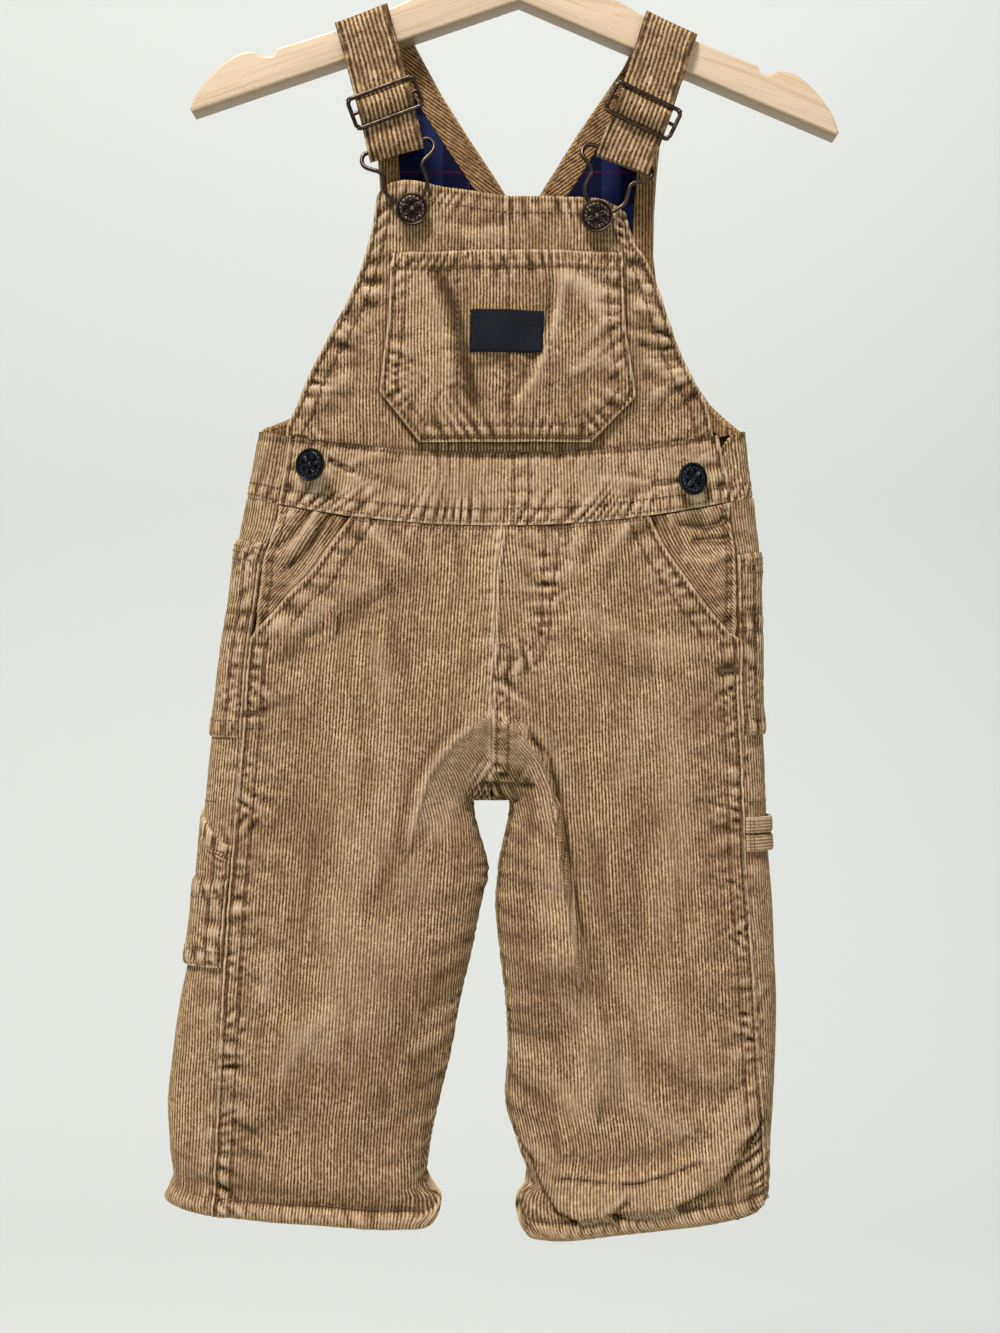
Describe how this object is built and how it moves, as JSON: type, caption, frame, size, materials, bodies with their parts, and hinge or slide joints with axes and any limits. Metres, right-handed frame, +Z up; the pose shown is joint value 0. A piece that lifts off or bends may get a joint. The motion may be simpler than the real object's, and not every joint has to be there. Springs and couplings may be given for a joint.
{
  "type": "bib overalls on a wooden hanger",
  "caption": "Toddler's corduroy bib overalls with buckled straps, chest and side pockets, buttoned up and hanging from a wooden clothes hanger.",
  "frame": {"origin": "where a rod touches the inside of the hanger's hook", "axes": "+Z up, +X towards the wearer's left (right in a front view), -Y out of the garment's front"},
  "size_m": [0.3144, 0.0462, 0.6538],
  "materials": {
    "corduroy": "washed tan pinwale corduroy",
    "lining": "navy checked flannel",
    "label": "plain navy woven patch",
    "bronze": "antique dark bronze plating",
    "wood": "clear-lacquered pale beech",
    "steel": "plated wire"
  },
  "bodies": {
    "root": {"front_leg_right": "corduroy", "front_leg_left": "corduroy", "back_leg_right": "corduroy", "back_leg_left": "corduroy", "waistband_front": "corduroy", "waistband_back": "corduroy", "bib_front": "corduroy", "bib_pocket": "corduroy", "back_bib": "corduroy", "strap_right": "corduroy", "strap_left": "corduroy", "pocket_facing_right": "corduroy", "pocket_facing_left": "corduroy", "back_pocket_right": "corduroy", "back_pocket_left": "corduroy", "tool_pocket_right": "corduroy", "hammer_loop_left": "corduroy", "neck_facing_right": "corduroy", "neck_facing_left": "corduroy", "armhole_facing_right": "corduroy", "armhole_facing_left": "corduroy", "back_lining": "lining", "chest_label": "label", "slider_right": "bronze", "slider_left": "bronze", "buckle_right": "bronze", "buckle_left": "bronze", "bib_button_right": "bronze", "bib_button_left": "bronze", "side_button_right": "bronze", "side_button_left": "bronze", "hanger_wood": "wood", "hanger_hook": "steel"}
  },
  "joints": []
}
